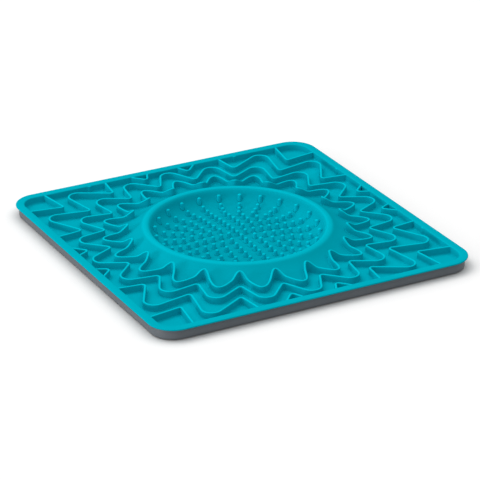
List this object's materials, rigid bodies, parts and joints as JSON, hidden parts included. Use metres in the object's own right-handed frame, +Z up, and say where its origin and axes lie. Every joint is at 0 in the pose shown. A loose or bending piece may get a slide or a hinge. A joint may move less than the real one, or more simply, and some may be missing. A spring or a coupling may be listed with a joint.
{
  "type": "lick mat",
  "caption": "Square silicone lick mat with a raised pegged bowl inside a scalloped wall and nested zigzag walls, laid in a low frame with soft feet.",
  "frame": {"origin": "middle of the footprint on the table, under the bowl's centre", "axes": "+Z up, +X along the side that faces the front right in the picture's view, +Y along the other side"},
  "size_m": [0.254, 0.254, 0.0136],
  "materials": {
    "silicone": "smooth satin teal silicone",
    "frame_plastic": "matte dark grey",
    "foot_rubber": "matte dark grey"
  },
  "bodies": {
    "base": {"base_frame": "frame_plastic", "foot_front_left": "foot_rubber", "foot_front_right": "foot_rubber", "foot_rear_left": "foot_rubber", "foot_rear_right": "foot_rubber"},
    "mat": {"mat_tray": "silicone", "bowl": "silicone", "bowl_skirt": "silicone", "inner_pegs": "silicone", "outer_pegs": "silicone", "scalloped_wall": "silicone", "inner_zigzag_wall": "silicone", "outer_zigzag_wall": "silicone", "edge_walls": "silicone", "corner_walls": "silicone"}
  },
  "joints": [
    {"name": "mat_lift", "type": "slide", "parent": "base", "child": "mat", "axis": [0, 0, 1], "range_m": [0, 0.04]}
  ]
}
